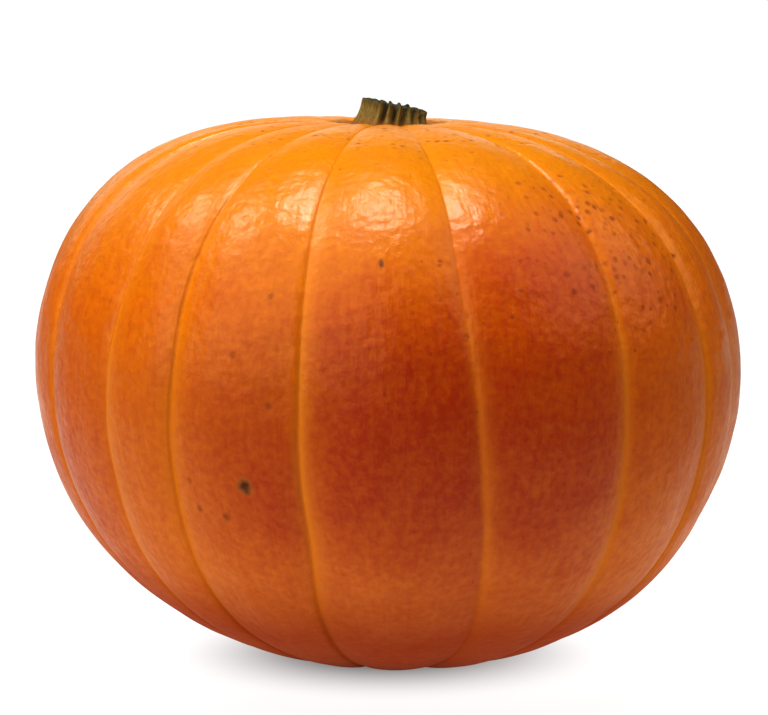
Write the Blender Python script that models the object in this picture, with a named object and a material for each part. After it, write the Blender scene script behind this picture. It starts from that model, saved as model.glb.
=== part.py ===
"""A ripe orange pumpkin with the stub of its stem, standing on the flat spot under it.

Units are metres and +Z is up. The origin is on the resting plane, under the middle of the fruit.
A bearing is the angle round the upright axis: 0 at the front (-Y), growing towards the right (+X).
A drop is the angle down the skin: 0 at the stem and pi at the blossom end.
Both solids start as a UV sphere whose vertices a formula moves to their place.
"""

from math import acos, asin, atan2, cos, exp, hypot, pi, radians, sin, tau

import bpy

# The fruit's envelope, which touches the crowns of its ribs
GIRTH_RADIUS = 0.139
DEPTH_SHARE = 0.98  # front to back, as a share of side to side
GIRTH_HEIGHT = 0.1173
CROWN_RISE = 0.103  # from the girth to the top, before the basin is taken out
CROWN_FULLNESS = 2.31  # exponents of the superellipse above and below the girth
BASE_FULLNESS = 2.18
GIRTH_BULGE = 0.0013  # the girth stands this much further out, at this drop and over this half width
BULGE_DROP = radians(93)
BULGE_SPAN = radians(13)
LOPSIDE = 0.0024  # the left shoulder stands this much high, and the right one this much low

# The two ends of the fruit
BASIN_DEPTH = 0.0075
BASIN_RADIUS = 0.060
STEM_DIP = 0.002
STEM_DIP_RADIUS = 0.030
SEAT_RADIUS = 0.019  # the flat that the stem stands on
FLAT_RADIUS = 0.039  # the flat spot that the fruit rests on
BLOSSOM_DIMPLE = 0.0048
BLOSSOM_RADIUS = 0.021
SCAR_HEIGHT = 0.0016
SCAR_RADIUS = 0.0075

# Each groove's bearing at the girth, its swing towards the blossom end, and how far both its ends bend
# to the right, in degrees
GROOVES = (
    (-69.0, 1.5, 0.0),
    (-48.9, -4.0, -3.0),
    (-35.5, -4.0, 0.0),
    (-14.0, -1.0, 0.0),
    (13.4, 6.0, 4.0),
    (40.5, 3.4, 4.0),
    (62.0, 5.0, 1.0),
    (74.5, 4.0, 0.0),
    (97.5, -1.0, -2.0),
    (116.5, -3.0, 1.5),
    (141.5, 2.0, 3.0),
    (156.5, 3.0, 0.0),
    (178.5, -2.0, -1.5),
    (202.5, 1.0, 2.0),
    (220.5, 4.0, -1.0),
    (243.5, -1.0, 2.5),
    (257.5, 2.0, 0.0),
    (278.0, -2.0, -1.0),
)
RIB_SWELL = 0.0023  # how far a mean rib's crown stands outside its grooves
CREASE_DEPTH = 0.0011
CREASE_WIDTH = 0.0034
TOP_FADE = 0.6  # exponents by which the ribs' relief fades towards the two ends
BASE_FADE = 0.8

# The stem's stub, from its own axis at the foot
STEM_GAP = 0.0003  # between its underside and the fruit
STEM_SHIFT = 0.0014  # of its foot, to the right
STEM_LEAN = 0.0020  # of its neck over its foot, to the right
STEM_HEIGHT = 0.0087  # on its axis
CUT_SLOPE = 0.18  # the cut falls to the right
PITH_DEPTH = 0.0016
PITH_RADIUS = 0.0055
NECK_RADIUS = 0.0135
STEM_LOBES = 5
FIRST_LOBE = radians(-90)  # one lobe points to the left
LOBE_DEPTH = 0.0010
FOOT_FLARE = 0.0042  # of a lobe
HOLLOW_FLARE = 0.8  # of the hollows between the lobes, as a share of a lobe's
STEM_RIDGES = 20
RIDGE_DEPTH = 0.0013

# How finely the two are cut into faces
RIB_FACES = 8
FRUIT_RINGS = 36
SEAT_RINGS = 2
POLE_CROWDING = 0.8  # how much closer rings stand at the ends of the fruit than on average
GROOVE_CROWDING = 0.09
RIDGE_FACES = 5
CUT_RINGS = 4
SIDE_RINGS = 7
UNDER_RINGS = 2

SHARP_FROM = radians(50)
SKIN_ORANGE = (0.75, 0.20, 0.015, 1.0)
STEM_OLIVE = (0.24, 0.19, 0.07, 1.0)


def bump(distance, radius):
    """1 in the middle, and exactly 0 from the radius out."""
    return (1 - (distance / radius) ** 2) ** 2 if distance < radius else 0.0


def base_drop_height():
    """The girth's height over the lowest point that the fruit would have without its flat spot."""
    share = (FLAT_RADIUS / GIRTH_RADIUS) ** BASE_FULLNESS
    return GIRTH_HEIGHT / (1 - share) ** (1 / BASE_FULLNESS)


def envelope(drop):
    """Reach from the axis, and height, of the plain skin: a superellipse with a basin round the stem."""
    if drop < pi / 2:
        power, rise = 2 / CROWN_FULLNESS, CROWN_RISE
    else:
        power, rise = 2 / BASE_FULLNESS, -base_drop_height()
    reach = GIRTH_RADIUS * max(sin(drop), 0.0) ** power
    reach += GIRTH_BULGE * exp(-(((drop - BULGE_DROP) / BULGE_SPAN) ** 2))
    height = GIRTH_HEIGHT + rise * abs(cos(drop)) ** power
    if drop < pi / 2:
        height -= BASIN_DEPTH * exp(-((reach / BASIN_RADIUS) ** 2))
        height -= STEM_DIP * bump(reach, STEM_DIP_RADIUS)
    return reach, height


def outward(drop, step=0.004):
    """The unit normal of the plain skin, as (reach, height)."""
    above, below = envelope(max(drop - step, 0.0)), envelope(min(drop + step, pi))
    along_reach, along_height = below[0] - above[0], below[1] - above[1]
    length = hypot(along_reach, along_height)
    return -along_height / length, along_reach / length


def groove_bearing(index, drop):
    """A groove's bearing at that drop. The index may run one past the last, which is the first again."""
    bearing, swing, bend = GROOVES[index % len(GROOVES)]
    bearing += bend * cos(drop) ** 2 - swing * cos(drop)
    return radians(bearing) + tau * (index // len(GROOVES))


def across_ribs(turn, drop):
    """Bearing, share across its rib (0 and 1 on the grooves) and rib width of the vertex at that turn."""
    rib = int(turn * len(GROOVES) + 1e-6)
    even = turn * len(GROOVES) - rib
    share = min(max(even - GROOVE_CROWDING * sin(tau * even), 0.0), 1.0)
    left, right = groove_bearing(rib, drop), groove_bearing(rib + 1, drop)
    return left + (right - left) * share, share, right - left


def rib_relief(share, spread, reach, drop):
    """How far the skin lies inside the envelope: a round crown between two creases."""
    swell = RIB_SWELL * (2 * share - 1) ** 2 * spread / (tau / len(GROOVES))
    from_groove = min(share, 1 - share) * spread * reach
    crease = CREASE_DEPTH * exp(-((from_groove / CREASE_WIDTH) ** 2))
    return (swell + crease) * sin(drop) ** (TOP_FADE if drop < pi / 2 else BASE_FADE)


def seat_drop():
    """The drop at which the plain skin has the seat's radius."""
    return asin((SEAT_RADIUS / GIRTH_RADIUS) ** (CROWN_FULLNESS / 2))


def seat_height():
    return envelope(0.0)[1]


def ring_drop(ring):
    """The drop of a ring below the seat, closer together towards both ends."""
    even = (ring - SEAT_RINGS) / (FRUIT_RINGS - SEAT_RINGS)
    crowded = even - POLE_CROWDING * sin(tau * even) / tau
    return seat_drop() + (pi - seat_drop()) * crowded


def fruit_point(turn, ring):
    """Where a vertex of the fruit goes."""
    if ring <= SEAT_RINGS:
        bearing, _, _ = across_ribs(turn, seat_drop())
        reach = SEAT_RADIUS * ring / SEAT_RINGS
        return reach * sin(bearing), -reach * cos(bearing), seat_height()
    drop = ring_drop(ring)
    plain_reach, plain_height = envelope(drop)
    bearing, share, spread = across_ribs(turn, drop)
    relief = rib_relief(share, spread, plain_reach, drop)
    out_reach, out_height = outward(drop)
    reach = plain_reach - relief * out_reach
    height = plain_height - relief * out_height
    lean_share = max(plain_reach - SEAT_RADIUS, 0.0) / (GIRTH_RADIUS - SEAT_RADIUS)
    height -= LOPSIDE * sin(bearing) * sin(0.75 * pi * lean_share)
    height = max(height, 0.0)
    if drop > pi / 2:
        height += BLOSSOM_DIMPLE * bump(reach, BLOSSOM_RADIUS)
        height -= SCAR_HEIGHT * bump(reach, SCAR_RADIUS)
    return reach * sin(bearing), -reach * cos(bearing) * DEPTH_SHARE, height


def stem_reach(bearing, climb):
    """From the stem's axis to its ridged side, with climb 0 at the foot and 1 at the cut."""
    hollow = 0.5 - 0.5 * cos(STEM_LOBES * (bearing - FIRST_LOBE))
    furrow = 0.5 - 0.5 * cos(STEM_RIDGES * (bearing - FIRST_LOBE))
    flare = FOOT_FLARE * (1 - (1 - HOLLOW_FLARE) * hollow) * (1 - climb) ** 3
    return NECK_RADIUS + flare - LOBE_DEPTH * hollow - RIDGE_DEPTH * furrow


def stem_point(turn, ring):
    """Where a vertex of the stem goes: the cut first, then the ridged side, then the flat underside."""
    bearing = tau * turn
    below_cut = ring - CUT_RINGS
    climb = 1 - min(max(below_cut / SIDE_RINGS, 0.0), 1.0)
    inwards = min(ring / CUT_RINGS, 1.0)
    if below_cut > SIDE_RINGS:
        inwards = 1 - (below_cut - SIDE_RINGS) / UNDER_RINGS
    reach = stem_reach(bearing, climb) * inwards
    across, along = reach * sin(bearing), -reach * cos(bearing)
    cut_height = STEM_HEIGHT - CUT_SLOPE * across - PITH_DEPTH * bump(reach, PITH_RADIUS) * climb
    return across + STEM_LEAN * climb, along, cut_height * climb


def moulded_sphere(name, segments, rings, place):
    """A UV sphere whose every vertex goes where place(turn, ring) says."""
    bpy.ops.mesh.primitive_uv_sphere_add(segments=segments, ring_count=rings, radius=1.0)
    obj = bpy.context.object
    obj.name = obj.data.name = name
    for vertex in obj.data.vertices:
        x, y, z = vertex.co
        turn = (round(atan2(x, -y) / tau * segments) % segments) / segments
        ring = round(acos(max(-1.0, min(1.0, z))) / pi * rings)
        vertex.co = place(turn, ring)
    obj.data.shade_smooth()
    obj.data.set_sharp_from_angle(angle=SHARP_FROM)
    return obj


def finish(name, colour, roughness):
    """A plain surface material."""
    material = bpy.data.materials.new(name)
    material.use_nodes = True
    surface = material.node_tree.nodes["Principled BSDF"]
    surface.inputs["Base Color"].default_value = colour
    surface.inputs["Roughness"].default_value = roughness
    surface.inputs["Metallic"].default_value = 0.0
    return material


def collected(collection, obj, parent, material):
    """Moves the object into the collection, under its parent, with its material."""
    for other in obj.users_collection:
        other.objects.unlink(obj)
    collection.objects.link(obj)
    obj.parent = parent
    obj.data.materials.append(material)


def make_fruit(collection, middle):
    fruit = moulded_sphere("fruit", RIB_FACES * len(GROOVES), FRUIT_RINGS, fruit_point)
    collected(collection, fruit, middle, finish("waxy_orange_rind", SKIN_ORANGE, 0.32))


def make_stem(collection, middle):
    rings = CUT_RINGS + SIDE_RINGS + UNDER_RINGS
    stem = moulded_sphere("stem", RIDGE_FACES * STEM_RIDGES, rings, stem_point)
    stem.location = (STEM_SHIFT, 0.0, seat_height() + STEM_GAP)
    collected(collection, stem, middle, finish("dry_olive_stem", STEM_OLIVE, 0.7))


def main():
    for obj in list(bpy.data.objects):
        bpy.data.objects.remove(obj)
    collection = bpy.data.collections.new("pumpkin")
    bpy.context.scene.collection.children.link(collection)
    middle = bpy.data.objects.new("pumpkin_middle", None)
    collection.objects.link(middle)
    make_fruit(collection, middle)
    make_stem(collection, middle)


main()
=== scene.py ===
"""A ripe pumpkin in soft studio light: a waxy, ribbed orange rind and the dry, ridged stub of its stem.

Units are metres. A bearing is the angle round the upright axis, 0 at the front (-Y) and growing to the
right (+X). A drop is the angle down the rind, 0 at the stem and pi at the blossom end.
"""

from math import acos, asin, atan2, cos, exp, hypot, pi, radians, sin, tau

import bmesh
import bpy
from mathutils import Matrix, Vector, noise


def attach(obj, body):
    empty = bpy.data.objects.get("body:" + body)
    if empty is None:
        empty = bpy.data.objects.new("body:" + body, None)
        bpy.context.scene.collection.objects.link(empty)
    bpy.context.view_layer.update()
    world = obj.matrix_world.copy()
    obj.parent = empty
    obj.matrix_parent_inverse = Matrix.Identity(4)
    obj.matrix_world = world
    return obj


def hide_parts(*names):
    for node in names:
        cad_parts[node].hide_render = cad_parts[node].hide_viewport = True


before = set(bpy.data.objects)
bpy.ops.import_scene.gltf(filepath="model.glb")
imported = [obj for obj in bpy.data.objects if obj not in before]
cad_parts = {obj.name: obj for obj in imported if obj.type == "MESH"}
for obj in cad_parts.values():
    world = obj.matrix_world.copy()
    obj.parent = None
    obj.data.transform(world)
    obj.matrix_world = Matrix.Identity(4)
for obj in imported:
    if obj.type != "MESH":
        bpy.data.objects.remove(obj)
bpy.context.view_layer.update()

MM = 0.001

# The plain skin that the crowns of the ribs touch, with the same sizes as the solids
GIRTH_RADIUS = 139.0 * MM
DEPTH_SHARE = 0.98
GIRTH_HEIGHT = 117.3 * MM
CROWN_RISE = 103.0 * MM
CROWN_FULLNESS = 2.31
BASE_FULLNESS = 2.18
GIRTH_BULGE = 1.3 * MM
BULGE_DROP = radians(93)
BULGE_SPAN = radians(13)
LOPSIDE = 2.4 * MM
BASIN_DEPTH = 7.5 * MM
BASIN_RADIUS = 60.0 * MM
STEM_DIP = 2.0 * MM
STEM_DIP_RADIUS = 30.0 * MM
SEAT_RADIUS = 19.0 * MM
FLAT_RADIUS = 39.0 * MM
BLOSSOM_DIMPLE = 4.8 * MM
BLOSSOM_RADIUS = 21.0 * MM
SCAR_HEIGHT = 1.6 * MM
SCAR_RADIUS = 7.5 * MM

# Each groove: its bearing at the girth, its swing towards the blossom end, how far both its ends bend
# to the right, how deep it is pinched, how much gentler its right wall is than its left one, and how
# pale it is painted: partly the groove's own paler skin, partly a painted highlight on its gentler wall,
# the one that faces the light
GROOVES = (
    (-69.0, 1.5, 0.0, 1.1, 0.3, 0.9),
    (-48.9, -4.0, -3.0, 1.1, 0.3, 0.9),
    (-35.5, -4.0, 0.0, 1.0, 0.3, 0.9),
    (-14.0, -1.0, 0.0, 1.2, 0.4, 1.0),
    (13.4, 6.0, 4.0, 1.0, 0.2, 0.6),
    (40.5, 3.4, 4.0, 1.0, -0.4, 0.9),
    (62.0, 5.0, 1.0, 1.0, -0.2, 0.9),
    (74.5, 4.0, 0.0, 1.0, 0.1, 1.0),
    (97.5, -1.0, -2.0, 1.1, 0.3, 0.9),
    (116.5, -3.0, 1.5, 0.9, -0.3, 0.5),
    (141.5, 2.0, 3.0, 1.2, 0.2, 1.0),
    (156.5, 3.0, 0.0, 0.8, 0.0, 0.4),
    (178.5, -2.0, -1.5, 1.1, -0.3, 0.7),
    (202.5, 1.0, 2.0, 1.0, 0.3, 0.9),
    (220.5, 4.0, -1.0, 1.2, 0.1, 0.6),
    (243.5, -1.0, 2.5, 0.9, -0.2, 1.0),
    (257.5, 2.0, 0.0, 1.1, 0.3, 0.5),
    (278.0, -2.0, -1.0, 1.0, 0.2, 0.8),
)

# Where a groove steps a little to the right: its number, then the step's drop, half width and size in
# degrees
KINKS = (
    (3, 116.0, 12.0, 1.3),
    (2, 85.0, 9.0, 0.6),
    (9, 102.0, 14.0, -1.0),
    (13, 78.0, 10.0, 0.9),
)
RIBS = len(GROOVES)
RIB_SWELL = 2.3 * MM
TOP_FADE = 0.6
BASE_FADE = 0.8
CREASE_DEPTH = 0.55 * MM
CREASE_WIDTH = 1.9 * MM
CREASE_DROP = (radians(45), radians(110))  # where the crease begins to deepen, and fully has
VALLEY_SHIFT = 0.9 * MM  # of the pale line in a groove, towards its gentler wall: partly paler skin, partly painted highlight
VALLEY_WIDTH = 1.7 * MM
LIT_WALL_BAND_SHIFT = 2.4 * MM  # of the soft pale band beside it, a painted highlight on the wall that faces the light
LIT_WALL_BAND_WIDTH = 4.6 * MM
VALLEY_LINE_SHARE = 0.55
VALLEY_DROP = (radians(50), radians(85))  # where the pale line begins to strengthen, and fully has
CORK_WIDTH = 9.0 * MM  # of the cork round the stem
RUBBED_AND_SHADED_DROP = (radians(118), radians(144))  # where painted shade begins to darken and redden the rind towards the base and the ground rubs its wax, and fully has
CROWN_HEIGHT = (150.0, 205.0)  # in mm, where the rind begins to turn yellower and smoother, and fully has; the yellow is partly its own and partly painted light from above
GROOVE_WANDER = radians(0.5)

# Short, shallow seams between the grooves: bearing, first and last drop in degrees, depth in mm
SEAMS = (
    (-25.5, 58.0, 96.0, 0.45),
    (1.5, 40.0, 60.0, 0.35),
    (1.5, 82.0, 128.0, 0.28),
    (27.0, 30.0, 50.0, 0.50),
    (50.0, 40.0, 75.0, 0.30),
    (-57.0, 70.0, 110.0, 0.30),
    (107.0, 60.0, 105.0, 0.40),
    (129.0, 35.0, 70.0, 0.45),
    (190.0, 75.0, 125.0, 0.35),
    (211.0, 30.0, 65.0, 0.45),
    (232.0, 80.0, 120.0, 0.30),
    (268.0, 50.0, 90.0, 0.40),
)
SEAM_WIDTH = 1.8 * MM
SEAM_SPAN = radians(11.5)  # to either side, past which nothing is left of a seam

# Small dents: bearing and drop in degrees, radius and depth in mm
DENTS = (
    (-3.4, 48.2, 7.0, 0.40),
    (5.0, 47.0, 5.0, 0.20),
    (-22.0, 45.0, 8.0, 0.30),
    (22.0, 46.5, 6.0, 0.22),
    (-31.0, 50.0, 6.5, 0.25),
    (-23.5, 102.0, 3.0, 0.16),
    (52.0, 96.0, 9.0, 0.30),
    (88.0, 70.0, 7.0, 0.35),
    (128.0, 92.0, 10.0, 0.45),
    (168.0, 58.0, 8.0, 0.35),
    (214.0, 84.0, 7.0, 0.30),
    (251.0, 62.0, 9.0, 0.40),
    (290.0, 110.0, 8.0, 0.30),
)

# Unevenness of the grown skin: height and the size of one swelling, in mm
LUMPS = (
    (0.62, 46.0),
    (0.26, 17.0),
    (0.13, 7.5),
)
RIPPLE_HEIGHT = 0.22  # ripples that run along the ribs
RIPPLE_ACROSS = 7.5
RIPPLE_ALONG = 30.0

# Where the skin is painted a deeper, darker red: partly its own riper colour, partly painted shade where
# the front gets little light. And where it is densely flecked. Each patch is a bearing and
# drop in degrees, its half widths across and along the ribs, and its strength
DEEP_RED_AND_SHADE_PATCHES = (
    (14.0, 96.0, 52.0, 46.0, 1.00),
    (28.0, 66.0, 36.0, 30.0, 0.80),
    (-15.0, 104.0, 22.0, 30.0, 0.85),
    (-66.0, 110.0, 24.0, 44.0, 0.60),
    (150.0, 88.0, 60.0, 52.0, 0.70),
    (238.0, 105.0, 50.0, 48.0, 0.75),
)
FLECKED = (
    (42.0, 58.0, 46.0, 46.0, 1.00),
    (0.0, 20.0, 400.0, 34.0, 0.70),
    (10.0, 75.0, 30.0, 40.0, 0.55),
    (165.0, 66.0, 70.0, 44.0, 0.85),
    (262.0, 60.0, 40.0, 40.0, 0.60),
)

# The shares from 0 to 1 that each point of the rind carries for its material
RIND_MARKS = ("groove", "pale_groove_and_lit_wall", "deep_red_and_shade", "flecked", "cork", "base_rub_and_shade")

# How finely the rind is cut
RIB_FACES = 26
RIND_RINGS = 200
SEAT_RINGS = 3
POLE_CROWDING = 0.72
GROOVE_CROWDING = 0.11


def bump(distance, radius):
    """1 in the middle, and exactly 0 from the radius out."""
    return (1 - (distance / radius) ** 2) ** 2 if distance < radius else 0.0


def smooth_step(low, high, value):
    """0 below low, 1 above high and an even curve between."""
    share = min(max((value - low) / (high - low), 0.0), 1.0)
    return share * share * (3 - 2 * share)


BASE_DROP = GIRTH_HEIGHT / (1 - (FLAT_RADIUS / GIRTH_RADIUS) ** BASE_FULLNESS) ** (1 / BASE_FULLNESS)


def plain_skin(drop):
    """Reach from the axis, and height, of the skin without its ribs."""
    power, rise = 2 / BASE_FULLNESS, -BASE_DROP
    if drop < pi / 2:
        power, rise = 2 / CROWN_FULLNESS, CROWN_RISE
    reach = GIRTH_RADIUS * max(sin(drop), 0.0) ** power
    reach += GIRTH_BULGE * exp(-(((drop - BULGE_DROP) / BULGE_SPAN) ** 2))
    height = GIRTH_HEIGHT + rise * abs(cos(drop)) ** power
    if drop < pi / 2:
        height -= BASIN_DEPTH * exp(-((reach / BASIN_RADIUS) ** 2))
        height -= STEM_DIP * bump(reach, STEM_DIP_RADIUS)
    return reach, height


def outward(drop, step=0.004):
    """The unit normal of the plain skin, as (reach, height)."""
    above, below = plain_skin(max(drop - step, 0.0)), plain_skin(min(drop + step, pi))
    along_reach, along_height = below[0] - above[0], below[1] - above[1]
    length = hypot(along_reach, along_height)
    return -along_height / length, along_reach / length


def plain_point(bearing, drop):
    """The point of the plain skin at that bearing and drop."""
    reach, height = plain_skin(drop)
    return Vector((reach * sin(bearing), -reach * cos(bearing), height))


SEAT_DROP = asin((SEAT_RADIUS / GIRTH_RADIUS) ** (CROWN_FULLNESS / 2))
SEAT_HEIGHT = plain_skin(0.0)[1]
DENT_PLACES = [(plain_point(radians(b), radians(d)), r * MM, h * MM) for b, d, r, h in DENTS]


def ring_drop(ring):
    """The drop of a ring below the seat, closer together towards both ends."""
    even = (ring - SEAT_RINGS) / (RIND_RINGS - SEAT_RINGS)
    return SEAT_DROP + (pi - SEAT_DROP) * (even - POLE_CROWDING * sin(tau * even) / tau)


def groove_bearing(index, drop):
    """A groove's bearing at that drop, with the small wander of a grown thing."""
    groove = index % RIBS
    bearing, swing, bend, _, _, _ = GROOVES[groove]
    bearing += bend * cos(drop) ** 2 - swing * cos(drop)
    for kinked, level, half_width, step in KINKS:
        if kinked == groove:
            bearing += step * exp(-(((drop - radians(level)) / radians(half_width)) ** 2))
    wander = GROOVE_WANDER * noise.noise(Vector((7.3 * groove, 1.9 * drop, 0.5)))
    return radians(bearing) + wander + tau * (index // RIBS)


def skin_grain(bearing, height):
    """A place in mm that runs round the girth and up the axis, for patterns that follow the ribs."""
    across = GIRTH_RADIUS / MM
    return Vector((across * sin(bearing), across * cos(bearing), height / MM))


def lumps(place):
    """Slow unevenness of the skin, in metres."""
    return MM * sum(height * noise.noise(place / (size * MM)) for height, size in LUMPS)


def ripples(bearing, height):
    """Unevenness that runs along the ribs, in metres."""
    grain = skin_grain(bearing, height)
    stretched = Vector((grain.x / RIPPLE_ACROSS, grain.y / RIPPLE_ACROSS, grain.z / RIPPLE_ALONG))
    return MM * RIPPLE_HEIGHT * noise.noise(stretched)


def seam_relief(bearing, drop, reach):
    """Depth of the short seams at that place, in metres."""
    depth = 0.0
    for middle, first, last, height in SEAMS:
        away = (bearing - radians(middle) + pi) % tau - pi
        if abs(away) > SEAM_SPAN:
            continue
        along = (drop - radians(first)) / radians(last - first)
        if 0 < along < 1:
            wander = 0.012 * noise.noise(Vector((middle, 3.0 * drop, 2.0)))
            depth += height * MM * sin(pi * along) * exp(-(((away - wander) * reach / SEAM_WIDTH) ** 2))
    return depth


def patch_strength(patches, bearing, drop):
    """How strongly the patches that reach this place mark it, from 0 to 1."""
    strongest = 0.0
    for middle, level, across, along, strength in patches:
        away = (bearing - radians(middle) + pi) % tau - pi
        share = hypot(away / radians(across), (drop - radians(level)) / radians(along))
        strongest = max(strongest, strength * bump(share, 1.0))
    return strongest


def rind_place(turn, ring):
    """Where a point of the rind lies, and the marks there: each is a share from 0 to 1."""
    rib = int(turn * RIBS + 1e-6)
    even = turn * RIBS - rib
    share = min(max(even - GROOVE_CROWDING * sin(tau * even), 0.0), 1.0)
    drop = ring_drop(ring) if ring > SEAT_RINGS else SEAT_DROP
    left, right = groove_bearing(rib, drop), groove_bearing(rib + 1, drop)
    bearing = left + (right - left) * share
    if ring <= SEAT_RINGS:
        reach = SEAT_RADIUS * ring / SEAT_RINGS
        return Vector((reach * sin(bearing), -reach * cos(bearing), SEAT_HEIGHT)), {"cork": 1.0}
    plain_reach, plain_height = plain_skin(drop)
    fade = sin(drop) ** (TOP_FADE if drop < pi / 2 else BASE_FADE)
    swell = RIB_SWELL * (2 * share - 1) ** 2 * (right - left) / (tau / RIBS)
    groove = rib if share < 0.5 else (rib + 1) % RIBS
    past_groove = (share if share < 0.5 else share - 1) * (right - left) * plain_reach
    _, _, _, pinch, lean, paleness_and_lit_wall = GROOVES[groove]
    pinch *= 1 + 0.5 * noise.noise(Vector((5.1 * groove, 3.2 * drop, 8.5)))
    pinch *= 0.35 + 0.65 * smooth_step(*CREASE_DROP, drop)
    width = CREASE_WIDTH * (1 + lean if past_groove > 0 else 1 - lean)
    crease = exp(-((past_groove / width) ** 2))
    relief = (swell + CREASE_DEPTH * pinch * crease) * fade
    relief += seam_relief(bearing, drop, plain_reach)
    plain = plain_point(bearing, drop)
    relief += sum(depth * bump((plain - middle).length, radius) for middle, radius, depth in DENT_PLACES)
    relief -= (lumps(plain) + ripples(bearing, plain_height)) * fade
    out_reach, out_height = outward(drop)
    reach = plain_reach - relief * out_reach
    height = plain_height - relief * out_height
    lean_share = max(plain_reach - SEAT_RADIUS, 0.0) / (GIRTH_RADIUS - SEAT_RADIUS)
    height -= LOPSIDE * sin(bearing) * sin(0.75 * pi * lean_share)
    height = max(height, 0.0)
    scar = 0.0
    if drop > pi / 2:
        height += BLOSSOM_DIMPLE * bump(reach, BLOSSOM_RADIUS)
        height -= SCAR_HEIGHT * bump(reach, SCAR_RADIUS)
        scar = bump(reach, 1.6 * SCAR_RADIUS)
    rib_middle = (left + right) / 2
    # The pale line in a groove is partly its own paler skin; the band beside it is a painted highlight on the
    # gentler wall, which faces the light
    past_valley = past_groove * (1 if lean > 0 else -1)
    pale_groove_and_lit_wall = VALLEY_LINE_SHARE * exp(-(((past_valley - VALLEY_SHIFT) / VALLEY_WIDTH) ** 2))
    lit_wall_band = exp(-(((past_valley - LIT_WALL_BAND_SHIFT) / LIT_WALL_BAND_WIDTH) ** 2))
    pale_groove_and_lit_wall += (1 - VALLEY_LINE_SHARE) * lit_wall_band
    pale_groove_and_lit_wall *= paleness_and_lit_wall * (0.45 + 0.55 * smooth_step(*VALLEY_DROP, drop))
    marks = {
        "groove": crease * pinch * fade,
        "pale_groove_and_lit_wall": pale_groove_and_lit_wall * fade,
        # The deep red patches carry painted shade as well as the rind's own riper colour
        "deep_red_and_shade": patch_strength(DEEP_RED_AND_SHADE_PATCHES, 0.55 * bearing + 0.45 * rib_middle, drop),
        "flecked": patch_strength(FLECKED, bearing, drop),
        "cork": max(scar, bump(plain_reach - SEAT_RADIUS, CORK_WIDTH) if drop < 1 else 0.0),
        # Towards the base the rind is darkened with painted shade, and its wax is rubbed
        "base_rub_and_shade": smooth_step(*RUBBED_AND_SHADED_DROP, drop),
    }
    return Vector((reach * sin(bearing), -reach * cos(bearing) * DEPTH_SHARE, height)), marks


def make_piece(name, shape, body, node, material):
    """Turns a bmesh into a smooth piece that stands for a CAD node."""
    bmesh.ops.recalc_face_normals(shape, faces=shape.faces)
    mesh = bpy.data.meshes.new(name)
    shape.to_mesh(mesh)
    shape.free()
    mesh.shade_smooth()
    mesh.materials.append(material)
    piece = bpy.data.objects.new(name, mesh)
    bpy.context.scene.collection.objects.link(piece)
    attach(piece, body)
    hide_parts(node)


def make_rind(material):
    """The whole fruit: a UV sphere whose rings and meridians are laid along its ribs."""
    shape = bmesh.new()
    segments = RIB_FACES * RIBS
    bmesh.ops.create_uvsphere(shape, u_segments=segments, v_segments=RIND_RINGS, radius=1.0)
    layers = {name: shape.verts.layers.float.new(name) for name in RIND_MARKS}
    grain = shape.verts.layers.float_vector.new("grain")
    for vertex in shape.verts:
        x, y, z = vertex.co
        turn = (round(atan2(x, -y) / tau * segments) % segments) / segments
        ring = round(acos(max(-1.0, min(1.0, z))) / pi * RIND_RINGS)
        vertex.co, marks = rind_place(turn, ring)
        for name, value in marks.items():
            vertex[layers[name]] = value
        bearing = atan2(vertex.co.x, -vertex.co.y)
        vertex[grain] = skin_grain(bearing, vertex.co.z)
    make_piece("pumpkin_rind", shape, "root", "fruit", material)


# The stub of the stem, from the flat that it stands on
STEM_FOOT = Vector((1.4 * MM, 0.0, SEAT_HEIGHT))
STEM_LEAN = 2.0 * MM
STEM_HEIGHT = 9.3 * MM
STEM_SUNK = 0.3 * MM  # of the foot's edge in the rind
CUT_SLOPE = 0.18
CUT_ROUNDING = 14.0  # the cut falls away more towards its right end
NECK_RADIUS = 13.5 * MM
STEM_LOBES = 5
FIRST_LOBE = radians(-90)
LOBE_DEPTH = 1.0 * MM
FOOT_FLARE = 4.2 * MM
HOLLOW_FLARE = 0.8
STEM_RIDGES = 20
FIRST_RIDGE = radians(-8.2)
RIDGE_DEPTH = 1.5 * MM
RIDGE_UNEVEN = 1.1
FIBRE_DEPTH = 0.16 * MM
NOTCH_DEPTH = 2.3 * MM  # of the cut's rim between two ridges, on the right
TORN_DEPTH = 0.9 * MM  # of the torn middle of the cut below its rim
STEM_STEPS = 320


def stem_profile():
    """Reach as a share of the outline's, and climb from foot to cut, of the points that are spun."""
    return (
        (0.0, 1.0),
        (0.20, 1.0),
        (0.38, 1.0),
        (0.58, 1.0),
        (0.76, 1.0),
        (0.90, 1.0),
        (0.985, 0.985),
        (1.0, 0.90),
        (1.0, 0.70),
        (1.0, 0.45),
        (1.0, 0.20),
        (1.0, 0.0),
    )


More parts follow.
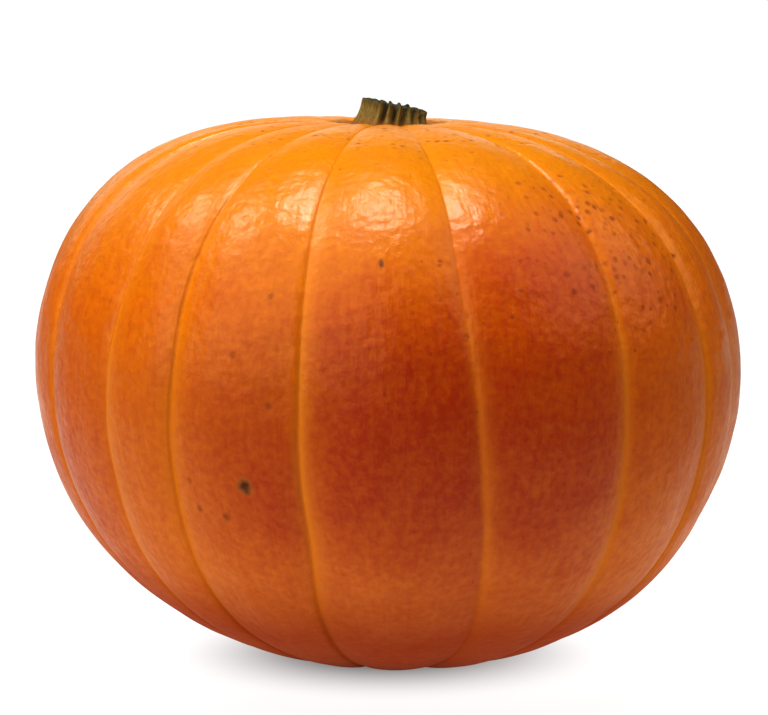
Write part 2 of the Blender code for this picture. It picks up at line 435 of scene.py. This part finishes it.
def stem_place(bearing, share, climb):
    """Where a point of the stem lies, and how deep in a furrow it is, from 0 to 1, which is painted as shade
    and weaker on the right side.
    """
    uneven = noise.noise(Vector((2.6 * sin(bearing), 0.8 * cos(bearing), 0.7 * climb)))
    hollow = 0.5 - 0.5 * cos(STEM_LOBES * (bearing - FIRST_LOBE))
    furrow = (0.5 - 0.5 * cos(STEM_RIDGES * (bearing - FIRST_RIDGE) + RIDGE_UNEVEN * uneven)) ** 0.8
    flare = FOOT_FLARE * (1 - (1 - HOLLOW_FLARE) * hollow) * (1 - climb) ** 3
    outline = NECK_RADIUS + flare - LOBE_DEPTH * hollow
    right_side = smooth_step(-0.62, -0.28, sin(bearing))
    furrow *= 0.30 + 0.70 * right_side
    outline -= RIDGE_DEPTH * furrow * (0.95 + 0.6 * uneven)
    around = Vector((28 * cos(bearing), 28 * sin(bearing), 1.2 * climb))
    outline += FIBRE_DEPTH * noise.noise(around) * share
    reach = outline * share
    across, along = reach * sin(bearing), -reach * cos(bearing)
    rim = smooth_step(0.55, 0.92, share)
    jagged = noise.noise(Vector((9 * cos(bearing), 9 * sin(bearing), 3.0)))
    top = STEM_HEIGHT - CUT_SLOPE * across - CUT_ROUNDING * max(across - 3 * MM, 0.0) ** 2
    top -= rim * (NOTCH_DEPTH * furrow ** 1.5 - 0.5 * MM * jagged)
    top -= (1 - rim) * TORN_DEPTH * (1 + 0.6 * noise.noise(Vector((across, along, 0.0)) / (1.7 * MM)))
    height = top * climb - STEM_SUNK * (1 - climb)
    place = STEM_FOOT + Vector((across + STEM_LEAN * climb, along, height))
    # The furrow's depth, weakened on the right side, is painted as shade
    return place, furrow * (1 - 0.45 * smooth_step(-0.1, 0.5, sin(bearing)))


def make_stem(material):
    """A profile spun round the upright axis, then pinched into lobes and ridges."""
    shape = bmesh.new()
    points = [shape.verts.new((share, 0.0, climb)) for share, climb in stem_profile()]
    edges = [shape.edges.new(pair) for pair in zip(points, points[1:])]
    bmesh.ops.subdivide_edges(shape, edges=edges, cuts=3)
    bmesh.ops.spin(
        shape, geom=shape.verts[:] + shape.edges[:], cent=(0, 0, 0), axis=(0, 0, 1),
        angle=tau, steps=STEM_STEPS, use_merge=True,
    )
    bmesh.ops.remove_doubles(shape, verts=shape.verts, dist=1e-5)
    rim = [edge for edge in shape.edges if edge.is_boundary]
    bmesh.ops.holes_fill(shape, edges=rim, sides=0)
    furrow = shape.verts.layers.float.new("furrow")
    cut = shape.verts.layers.float.new("cut")
    climbed = shape.verts.layers.float.new("climb")
    for vertex in shape.verts:
        share, climb = hypot(vertex.co.x, vertex.co.y), vertex.co.z
        bearing = atan2(vertex.co.x, -vertex.co.y)
        vertex.co, vertex[furrow] = stem_place(bearing, share, climb)
        vertex[cut] = smooth_step(0.90, 0.99, climb) * smooth_step(1.01, 0.93, share)
        vertex[climbed] = climb
    make_piece("pumpkin_stem", shape, "root", "stem", material)


def linear(hex_colour):
    """An sRGB hex colour as the linear RGBA that the nodes take."""
    parts = [int(hex_colour[i:i + 2], 16) / 255 for i in (1, 3, 5)]
    return (*[p / 12.92 if p <= 0.04045 else ((p + 0.055) / 1.055) ** 2.4 for p in parts], 1.0)


def add_node(tree, kind, inputs, **settings):
    """Adds a node. Each input is a value, or another node's output to link."""
    made = tree.nodes.new(kind)
    for name, value in settings.items():
        setattr(made, name, value)
    for socket, value in inputs.items():
        if isinstance(value, bpy.types.NodeSocket):
            tree.links.new(value, made.inputs[socket])
        else:
            made.inputs[socket].default_value = value
    return made


def empty_material(name):
    """A material with only a Principled surface, and the tree to build on."""
    material = bpy.data.materials.new(name)
    material.use_nodes = True
    tree = material.node_tree
    return material, tree, tree.nodes["Principled BSDF"]


def painted(tree, under, layers):
    """Lays hex colours over what is under them, one by one, each with a share of strength and a mask."""
    for over, share, mask in layers:
        strength = add_node(
            tree, "ShaderNodeMath", {0: mask, 1: share}, operation="MULTIPLY", use_clamp=True,
        ).outputs[0]
        under = add_node(
            tree, "ShaderNodeMix", {0: strength, 6: under, 7: linear(over)}, data_type="RGBA",
        ).outputs[2]
    return under


def scattered_spots(tree, place, cell, amount, largest):
    """Scattered spots, 1 inside and 0 outside. Cell and largest radius are in mm, amount is a share."""
    cells = add_node(tree, "ShaderNodeTexVoronoi", {"Vector": place, "Scale": 1 / cell})
    drawn = add_node(tree, "ShaderNodeSeparateColor", {0: cells.outputs["Color"]})
    kept = add_node(tree, "ShaderNodeMath", {0: drawn.outputs[0], 1: amount}, operation="ADD").outputs[0]
    size = add_node(
        tree, "ShaderNodeMapRange", {0: kept, 1: 1.0, 2: 1.6, 3: 0.0, 4: largest / cell},
    ).outputs[0]
    inside = add_node(
        tree, "ShaderNodeMath", {0: size, 1: cells.outputs["Distance"]}, operation="SUBTRACT",
    ).outputs[0]
    strength = add_node(tree, "ShaderNodeMapRange", {0: drawn.outputs[1], 3: 0.3, 4: 1.0}).outputs[0]
    return add_node(
        tree, "ShaderNodeMapRange", {0: inside, 1: 0.0, 2: 0.7 * largest / cell, 3: 0.0, 4: strength},
    ).outputs[0]


# Blemishes: bearing in degrees, height and radius in mm, and how dark
BLEMISHES = (
    (-22.8, 86.9, 2.80, 0.92),
    (-22.5, 84.7, 1.70, 0.45),
    (-27.0, 74.4, 2.00, 0.40),
    (-32.0, 76.4, 1.90, 0.35),
    (-33.0, 87.2, 1.80, 0.25),
    (-24.2, 135.0, 1.90, 0.35),
    (-18.3, 117.0, 1.80, 0.30),
    (-18.9, 156.0, 1.50, 0.35),
    (-1.1, 168.5, 1.30, 0.60),
    (-1.0, 167.6, 1.20, 0.55),
    (84.0, 121.0, 2.20, 0.80),
    (131.0, 96.0, 1.60, 0.60),
    (-118.0, 137.0, 2.00, 0.80),
    (-160.0, 82.0, 2.60, 0.60),
)


def waxy_rind():
    """Ripe pumpkin rind, grown, under its own thin wax.

    The eye sees a deep orange that turns redder in patches, partly with painted shade, yellower towards
    the top, partly with painted light from above, and yellower in the grooves, with a painted highlight on
    each groove's lit wall. It is darker at the base with painted shade. Corky brown flecks and paler pores
    are in it, and the soft gloss of the wax, broken up along the ribs.
    """
    material, tree, surface = empty_material("grown_waxy_pumpkin_rind")
    grain = add_node(tree, "ShaderNodeAttribute", {}, attribute_name="grain").outputs["Vector"]
    groove, pale_groove_and_lit_wall, deep_red_and_shade, flecked, cork, base_rub_and_shade = (
        add_node(tree, "ShaderNodeAttribute", {}, attribute_name=name).outputs["Fac"] for name in RIND_MARKS
    )

    # Places in mm: as they are, slightly warped for uneven edges, and drawn out along the ribs
    metres = add_node(tree, "ShaderNodeTexCoord", {}).outputs["Object"]
    place = add_node(tree, "ShaderNodeVectorMath", {0: metres, "Scale": 1000.0}, operation="SCALE").outputs[0]
    warp = add_node(
        tree, "ShaderNodeTexNoise", {"Vector": place, "Scale": 1 / 1.6, "Detail": 2.0},
    ).outputs["Color"]
    warped = add_node(
        tree, "ShaderNodeVectorMath", {0: warp, 1: (1.5, 1.5, 1.5), 2: place}, operation="MULTIPLY_ADD",
    ).outputs[0]
    warped_grain = add_node(
        tree, "ShaderNodeVectorMath", {0: warp, 1: (1.2, 1.2, 1.2), 2: grain}, operation="MULTIPLY_ADD",
    ).outputs[0]
    drawn_out = add_node(
        tree, "ShaderNodeVectorMath", {0: grain, 1: (1 / 2.4, 1 / 2.4, 1 / 16)}, operation="MULTIPLY",
    ).outputs[0]

    # Patterns: patches of 22 mm, mottling of 3 mm, streaks 2.4 mm wide, dimples of 5.5 mm, and wax
    # pores drawn 0.8 mm wide, which is coarser than real so that they show
    patches = add_node(
        tree, "ShaderNodeTexNoise", {"Vector": place, "Scale": 1 / 22, "Detail": 3.0},
    ).outputs["Fac"]
    mottling = add_node(
        tree, "ShaderNodeTexNoise", {"Vector": place, "Scale": 1 / 3.0, "Detail": 4.0, "Roughness": 0.6},
    ).outputs["Fac"]
    streaks = add_node(
        tree, "ShaderNodeTexNoise", {"Vector": drawn_out, "Scale": 1.0, "Detail": 2.0},
    ).outputs["Fac"]
    dimples = add_node(
        tree, "ShaderNodeTexNoise", {"Vector": place, "Scale": 1 / 5.5, "Detail": 1.0},
    ).outputs["Fac"]
    pores = add_node(
        tree, "ShaderNodeTexNoise", {"Vector": place, "Scale": 1 / 0.8, "Detail": 2.0},
    ).outputs["Fac"]
    flecks = scattered_spots(tree, warped, 3.3, flecked, 1.75)
    pale_flecks = scattered_spots(tree, warped, 3.4, 0.45, 0.8)

    # From light to deep orange; the deep orange also carries the painted shade of the deep red patches
    depth = add_node(
        tree, "ShaderNodeMath", {0: patches, 1: 0.70, 2: deep_red_and_shade}, operation="MULTIPLY_ADD",
    ).outputs[0]
    depth = add_node(
        tree, "ShaderNodeMath", {0: mottling, 1: 1.20, 2: depth}, operation="MULTIPLY_ADD",
    ).outputs[0]
    depth = add_node(
        tree, "ShaderNodeMath", {0: streaks, 1: 0.40, 2: depth}, operation="MULTIPLY_ADD",
    ).outputs[0]
    depth = add_node(tree, "ShaderNodeMapRange", {0: depth, 1: 0.95, 2: 2.20}).outputs[0]
    height = add_node(tree, "ShaderNodeSeparateXYZ", {0: place}).outputs["Z"]
    # Yellower towards the top: partly the rind's own colour, partly painted light from the bright light above
    crown_and_top_light = add_node(
        tree, "ShaderNodeMapRange", {0: height, 1: CROWN_HEIGHT[0], 2: CROWN_HEIGHT[1]},
    ).outputs[0]
    shallow = add_node(tree, "ShaderNodeMapRange", {0: crown_and_top_light, 3: 1.0, 4: 0.45}).outputs[0]
    depth = add_node(tree, "ShaderNodeMath", {0: depth, 1: shallow}, operation="MULTIPLY").outputs[0]
    colour = painted(tree, linear("#DA780F"), (
        # A yellower top, partly painted light from above
        ("#CE860F", 0.90, crown_and_top_light),
        # A deeper red: random tone, and painted shade from the deep red patches
        ("#B23E0B", 1.00, depth),
        # The pale groove line, partly paler skin, and the band beside it, a painted highlight on the lit wall
        ("#E48A16", 0.95, pale_groove_and_lit_wall),
        ("#D98C2A", 0.45, pale_flecks),
        # Painted shade, darker and redder towards the base
        ("#902A06", 0.75, base_rub_and_shade),
        ("#803406", 0.80, flecks),
    ))

    # Single blemishes, each with a paler corky edge
    blemished = flecks
    for bearing, level, radius, darkness in BLEMISHES:
        away = add_node(
            tree, "ShaderNodeVectorMath",
            {0: warped_grain, 1: skin_grain(radians(bearing), level * MM) + Vector((0.6, 0.6, 0.6))},
            operation="DISTANCE",
        ).outputs["Value"]
        edge = add_node(tree, "ShaderNodeMapRange", {0: away, 1: 1.5 * radius, 2: 0.9 * radius}).outputs[0]
        middle = add_node(tree, "ShaderNodeMapRange", {0: away, 1: radius, 2: 0.35 * radius}).outputs[0]
        colour = painted(tree, colour, (
            ("#9A6A2A", 0.6 * darkness ** 2, edge),
            ("#58280A", darkness, middle),
        ))
        blemished = add_node(
            tree, "ShaderNodeMath", {0: blemished, 1: middle}, operation="MAXIMUM",
        ).outputs[0]

    # Cork round the stem and on the blossom scar, broken up at its edge
    cork = add_node(
        tree, "ShaderNodeMath", {0: mottling, 1: 1.2, 2: cork}, operation="MULTIPLY_ADD",
    ).outputs[0]
    cork = add_node(tree, "ShaderNodeMapRange", {0: cork, 1: 0.95, 2: 1.35}).outputs[0]
    colour = painted(tree, colour, (("#9A6A34", 0.85, cork),))
    tree.links.new(colour, surface.inputs["Base Color"])

    # The wax is thinner over flecks, cork and grooves, and where the ground rubbed it off
    rough = add_node(tree, "ShaderNodeMapRange", {0: patches, 1: 0.3, 2: 0.7, 3: 0.20, 4: 0.32}).outputs[0]
    rough = add_node(
        tree, "ShaderNodeMath", {0: mottling, 1: 0.10, 2: rough}, operation="MULTIPLY_ADD",
    ).outputs[0]
    lower_half = add_node(tree, "ShaderNodeMapRange", {0: height, 1: 120.0, 2: 20.0}).outputs[0]
    for mask, more in ((blemished, 0.25), (groove, 0.12), (cork, 0.35), (base_rub_and_shade, 0.30), (lower_half, 0.25)):
        rough = add_node(
            tree, "ShaderNodeMath", {0: mask, 1: more, 2: rough}, operation="MULTIPLY_ADD", use_clamp=True,
        ).outputs[0]
    tree.links.new(rough, surface.inputs["Roughness"])
    surface.inputs["IOR"].default_value = 1.39

    # Fine relief in mm: streaks along the ribs, pores, and flecks that stand a little sunk
    streaked = add_node(tree, "ShaderNodeMapRange", {0: crown_and_top_light, 3: 0.24, 4: 0.08}).outputs[0]
    relief = add_node(tree, "ShaderNodeMath", {0: streaks, 1: streaked}, operation="MULTIPLY").outputs[0]
    raised_or_sunk = (
        (dimples, 0.50), (mottling, 0.30), (pores, 0.016), (flecks, -0.05), (cork, 0.12), (blemished, -0.08),
    )
    for pattern, more in raised_or_sunk:
        relief = add_node(
            tree, "ShaderNodeMath", {0: pattern, 1: more, 2: relief}, operation="MULTIPLY_ADD",
        ).outputs[0]
    raised = add_node(tree, "ShaderNodeBump", {"Strength": 1.0, "Distance": MM, "Height": relief}).outputs[0]
    tree.links.new(raised, surface.inputs["Normal"])
    return material


def dry_stem():
    """Dried pumpkin stalk, cut with a knife.

    The eye sees matt olive-tan ridges of woody fibre, nearly black furrows between them, which is painted
    shade, a browner foot and a grey weathered cut.
    """
    material, tree, surface = empty_material("dry_woody_stalk")
    furrow, cut, climb = (
        add_node(tree, "ShaderNodeAttribute", {}, attribute_name=name).outputs["Fac"]
        for name in ("furrow", "cut", "climb")
    )

    # Places in mm, and fibres 0.6 mm wide, which is coarser than real so that they show
    metres = add_node(tree, "ShaderNodeTexCoord", {}).outputs["Object"]
    place = add_node(tree, "ShaderNodeVectorMath", {0: metres, "Scale": 1000.0}, operation="SCALE").outputs[0]
    upright = add_node(
        tree, "ShaderNodeVectorMath", {0: place, 1: (1 / 0.6, 1 / 0.6, 1 / 6.0)}, operation="MULTIPLY",
    ).outputs[0]
    fibres = add_node(
        tree, "ShaderNodeTexNoise", {"Vector": upright, "Scale": 1.0, "Detail": 3.0, "Roughness": 0.6},
    ).outputs["Fac"]
    blotches = add_node(
        tree, "ShaderNodeTexNoise", {"Vector": place, "Scale": 1 / 3.5, "Detail": 3.0},
    ).outputs["Fac"]

    olive = add_node(tree, "ShaderNodeMapRange", {0: blotches, 1: 0.35, 2: 0.65}).outputs[0]
    fibre_light = add_node(tree, "ShaderNodeMapRange", {0: fibres, 1: 0.52, 2: 0.72}).outputs[0]
    fibre_dark = add_node(tree, "ShaderNodeMapRange", {0: fibres, 1: 0.48, 2: 0.30}).outputs[0]
    # Painted shade in the furrows, nearly black
    furrow_shade = add_node(tree, "ShaderNodeMath", {0: furrow, 1: 1.4}, operation="POWER").outputs[0]
    foot = add_node(tree, "ShaderNodeMapRange", {0: climb, 1: 0.50, 2: 0.12}).outputs[0]
    tips = add_node(tree, "ShaderNodeMapRange", {0: climb, 1: 0.72, 2: 0.95}).outputs[0]
    dusty = add_node(tree, "ShaderNodeMath", {0: cut, 1: fibre_light}, operation="MULTIPLY").outputs[0]
    colour = painted(tree, linear("#8A7038"), (
        ("#867C44", 0.80, olive),
        ("#B0A06C", 0.45, fibre_light),
        ("#2E2008", 0.92, furrow_shade),
        ("#4A3614", 0.60, fibre_dark),
        ("#8A5016", 0.75, foot),
        ("#4A3E1C", 0.60, tips),
        ("#34301E", 0.90, cut),
        ("#8A8468", 0.70, dusty),
    ))
    tree.links.new(colour, surface.inputs["Base Color"])
    rough = add_node(tree, "ShaderNodeMapRange", {0: fibres, 1: 0.3, 2: 0.7, 3: 0.9, 4: 0.65}).outputs[0]
    tree.links.new(rough, surface.inputs["Roughness"])
    surface.inputs["IOR"].default_value = 1.45
    surface.inputs["Specular IOR Level"].default_value = 0.35
    relief = add_node(
        tree, "ShaderNodeMath", {0: blotches, 1: 0.4, 2: fibres}, operation="MULTIPLY_ADD",
    ).outputs[0]
    raised = add_node(
        tree, "ShaderNodeBump", {"Strength": 1.0, "Distance": 0.25 * MM, "Height": relief},
    ).outputs[0]
    tree.links.new(raised, surface.inputs["Normal"])
    return material


# The camera: where it looks, from how far, how high and through what lens
FRAME_WIDTH = 768
SENSOR = 36.0
FOCAL_PIXELS = 3257.0
LOOK_AT = Vector((-1.3 * MM, 0.0, 118.8 * MM))
CAMERA_DISTANCE = 1.30
CAMERA_ELEVATION = radians(7.0)


def make_camera():
    camera = bpy.data.cameras.new("camera")
    camera.sensor_width = SENSOR
    camera.lens = FOCAL_PIXELS * SENSOR / FRAME_WIDTH
    holder = bpy.data.objects.new("camera", camera)
    away = Vector((0.0, -cos(CAMERA_ELEVATION), sin(CAMERA_ELEVATION)))
    holder.location = LOOK_AT + away * CAMERA_DISTANCE
    holder.rotation_euler = (radians(90) - CAMERA_ELEVATION, 0.0, 0.0)
    bpy.context.scene.collection.objects.link(holder)
    bpy.context.scene.camera = holder


def add_softbox(name, place, target, width, height, watts):
    """A rectangular white studio light that faces its target and isn't seen itself."""
    light = bpy.data.lights.new(name, "AREA")
    light.shape = "RECTANGLE"
    light.size, light.size_y = width, height
    light.energy = watts
    holder = bpy.data.objects.new(name, light)
    holder.location = place
    holder.rotation_euler = (Vector(place) - Vector(target)).to_track_quat("Z", "Y").to_euler()
    holder.visible_camera = False
    bpy.context.scene.collection.objects.link(holder)


# The studio: the table glows a little, and more behind the fruit, over its own pale colour
TABLE_SIZE = 60.0
TABLE_COLOUR = "#606060"
TABLE_GLOW = (0.18, 0.72)
TABLE_GLOW_REACH = (-0.55, 0.05)  # front to back
TABLE_MIDDLE = -0.10  # the glow's middle line, left of the fruit's
TABLE_SIDES = (0.22, 0.60)  # to each side of it, where the glow begins to fade and is faintest
TABLE_SIDE_GLOW = 0.35  # share of the glow that is left there
TABLE_WIDENING = 0.14  # of the glowing part, behind the fruit, per metre to the back
TABLE_PAINTED_SHADOW = (0.0, 0.095)  # the ring under the fruit, a painted shadow, from which the glow grows to its full strength
TABLE_FAR = (1.0, 2.2)  # from the fruit, where the table turns evenly pale again
TABLE_FAR_GLOW = 0.50
ROOM_GLOW = 0.08  # at the horizon
ROOM_BAND = (0.02, 0.22)  # the rise, as a sine, where the horizon's glow begins to fade and ends
ROOM_CEILING = 0.04

# Each softbox: place, where it points, width, height and power in watts
SOFTBOXES = {
    "overhead_softbox": ((-0.03, -0.10, 1.20), (-0.03, -0.10, 0.0), 0.38, 0.32, 6.4),
    "overhead_left_softbox": ((-0.76, 0.10, 1.20), (-0.76, 0.10, 0.0), 0.36, 0.30, 3.6),
    "left_top_softbox": ((-0.75, -0.10, 1.00), (0.0, 0.0, 0.10), 0.70, 0.70, 0.8),
    "left_strip_softbox": ((-1.18, -0.60, 0.42), (0.0, 0.0, 0.13), 0.14, 0.50, 0.3),
    "front_panel": ((-1.10, -1.42, 1.25), (0.0, 0.0, 0.12), 2.80, 2.60, 26.0),
    "right_softbox": ((1.30, -0.25, 1.25), (0.0, 0.0, 0.10), 1.80, 1.40, 9.0),
    "back_softbox": ((-0.35, 1.20, 0.60), (0.0, 0.0, 0.20), 1.60, 0.50, 1.6),
}


def make_table():
    """A pale acrylic light table whose glow is painted light, with a painted shadow in the ring under the
    fruit.
    """
    shape = bmesh.new()
    bmesh.ops.create_grid(shape, x_segments=1, y_segments=1, size=TABLE_SIZE / 2)
    mesh = bpy.data.meshes.new("table")
    shape.to_mesh(mesh)
    shape.free()
    table = bpy.data.objects.new("table", mesh)
    bpy.context.scene.collection.objects.link(table)
    material, tree, surface = empty_material("opal_acrylic_table")
    place = add_node(tree, "ShaderNodeTexCoord", {}).outputs["Object"]
    parts = add_node(tree, "ShaderNodeSeparateXYZ", {0: place})
    glow = add_node(
        tree, "ShaderNodeMapRange",
        {
            0: parts.outputs["Y"], 1: TABLE_GLOW_REACH[0], 2: TABLE_GLOW_REACH[1],
            3: TABLE_GLOW[0], 4: TABLE_GLOW[1],
        },
        interpolation_type="SMOOTHSTEP",
    ).outputs[0]
    # The pale part of the table widens away from the camera, as its picture does
    spread = add_node(
        tree, "ShaderNodeMath", {0: parts.outputs["Y"], 1: TABLE_WIDENING}, operation="MULTIPLY",
    ).outputs[0]
    spread = add_node(tree, "ShaderNodeMath", {0: spread, 1: 0.0}, operation="MAXIMUM").outputs[0]
    aside = add_node(
        tree, "ShaderNodeMath", {0: parts.outputs["X"], 1: TABLE_MIDDLE}, operation="SUBTRACT",
    ).outputs[0]
    aside = add_node(tree, "ShaderNodeMath", {0: aside}, operation="ABSOLUTE").outputs[0]
    aside = add_node(tree, "ShaderNodeMath", {0: aside, 1: spread}, operation="SUBTRACT").outputs[0]
    sides = add_node(
        tree, "ShaderNodeMapRange",
        {0: aside, 1: TABLE_SIDES[0], 2: TABLE_SIDES[1], 3: 1.0, 4: TABLE_SIDE_GLOW},
        interpolation_type="SMOOTHSTEP",
    ).outputs[0]
    glow = add_node(tree, "ShaderNodeMath", {0: glow, 1: sides}, operation="MULTIPLY").outputs[0]
    away = add_node(tree, "ShaderNodeVectorMath", {0: place}, operation="LENGTH").outputs["Value"]
    # A painted shadow: the glow falls to nothing in the ring under the fruit
    outside_painted_shadow = add_node(
        tree, "ShaderNodeMapRange", {0: away, 1: TABLE_PAINTED_SHADOW[0], 2: TABLE_PAINTED_SHADOW[1]},
        interpolation_type="SMOOTHSTEP",
    ).outputs[0]
    glow = add_node(tree, "ShaderNodeMath", {0: glow, 1: outside_painted_shadow}, operation="MULTIPLY").outputs[0]
    far = add_node(
        tree, "ShaderNodeMapRange", {0: away, 1: TABLE_FAR[0], 2: TABLE_FAR[1], 3: 0.0, 4: TABLE_FAR_GLOW},
        interpolation_type="SMOOTHSTEP",
    ).outputs[0]
    glow = add_node(tree, "ShaderNodeMath", {0: glow, 1: far}, operation="MAXIMUM").outputs[0]
    surface.inputs["Base Color"].default_value = linear(TABLE_COLOUR)
    surface.inputs["Roughness"].default_value = 0.7
    surface.inputs["Specular IOR Level"].default_value = 0.1
    surface.inputs["Emission Color"].default_value = (1.0, 1.0, 1.0, 1.0)
    tree.links.new(glow, surface.inputs["Emission Strength"])
    mesh.materials.append(material)


def make_room():
    """A dim room with a pale band at the horizon."""
    world = bpy.data.worlds.new("studio_room")
    bpy.context.scene.world = world
    world.use_nodes = True
    tree = world.node_tree
    direction = add_node(tree, "ShaderNodeTexCoord", {}).outputs["Generated"]
    rise = add_node(tree, "ShaderNodeSeparateXYZ", {0: direction}).outputs["Z"]
    strength = add_node(
        tree, "ShaderNodeMapRange",
        {0: rise, 1: ROOM_BAND[0], 2: ROOM_BAND[1], 3: ROOM_GLOW, 4: ROOM_CEILING},
        interpolation_type="SMOOTHSTEP",
    ).outputs[0]
    tree.links.new(strength, tree.nodes["Background"].inputs["Strength"])
    tree.nodes["Background"].inputs["Color"].default_value = (1.0, 1.0, 1.0, 1.0)


def make_studio():
    """Soft light from the front left, the right and above, and the contrast of a studio photograph."""
    make_table()
    make_room()
    for name, (place, target, width, height, watts) in SOFTBOXES.items():
        add_softbox(name, place, target, width, height, watts)
    bpy.context.scene.view_settings.view_transform = "Standard"
    bpy.context.scene.view_settings.look = "High Contrast"


make_camera()
make_rind(waxy_rind())
make_stem(dry_stem())
make_studio()
